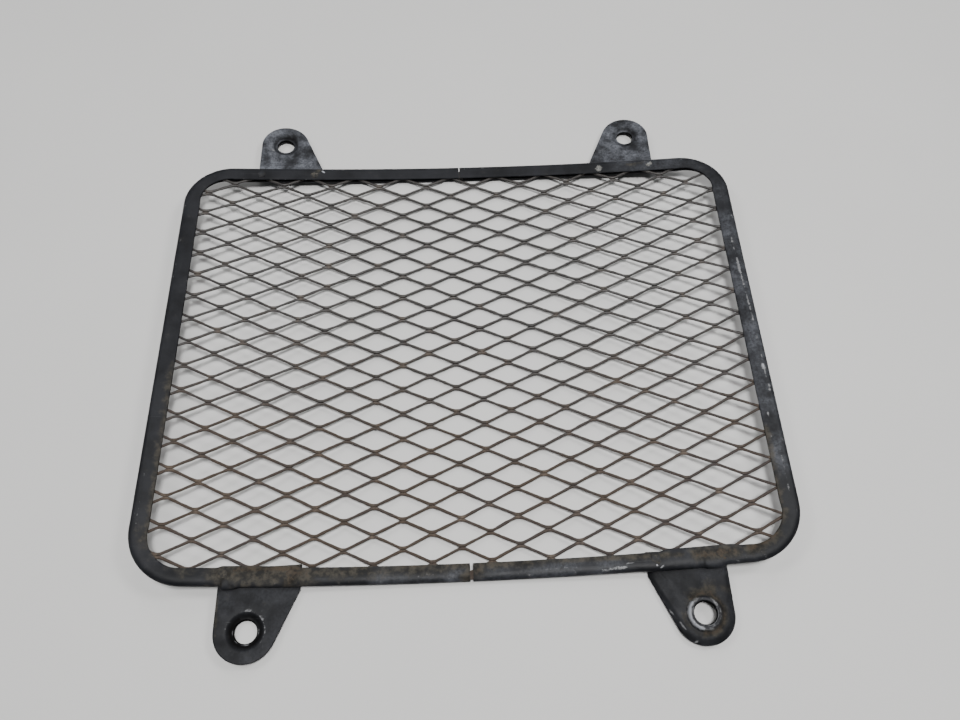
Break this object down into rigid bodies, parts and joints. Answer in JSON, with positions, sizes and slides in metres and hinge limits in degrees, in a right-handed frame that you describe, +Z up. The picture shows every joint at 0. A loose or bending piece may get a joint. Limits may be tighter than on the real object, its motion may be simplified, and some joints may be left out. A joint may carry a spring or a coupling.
{
  "type": "mesh guard",
  "caption": "Bowed rectangular guard: expanded steel mesh held in a folded edge channel with rounded corners and stamped bolt-on tabs above and below.",
  "frame": {"origin": "middle of the guard's outline, on the surface that it lies on", "axes": "+X along the guard's width to the right, +Y towards the upper edge, +Z up, out of the hollow front face"},
  "size_m": [0.2866, 0.2849, 0.0126],
  "materials": {
    "frame_paint": "satin black paint, rubbed on the edges, with rust bloom at the lower corners",
    "mesh_steel": "thin dark paint over steel, dull, turning rust brown towards the lower edge",
    "weld_steel": "weld points with the paint rubbed off to dull grey steel"
  },
  "bodies": {
    "root": {"expanded_mesh": "mesh_steel", "channel_left": "frame_paint", "channel_right": "frame_paint", "tab_upper_left": "frame_paint", "tab_upper_right": "frame_paint", "tab_lower_left": "frame_paint", "tab_lower_right": "frame_paint", "weld_upper_left_inner": "weld_steel", "weld_upper_left_outer": "weld_steel", "weld_upper_right_inner": "weld_steel", "weld_upper_right_outer": "weld_steel", "weld_lower_left_inner": "weld_steel", "weld_lower_left_outer": "weld_steel", "weld_lower_right_inner": "weld_steel", "weld_lower_right_outer": "weld_steel"}
  },
  "joints": []
}
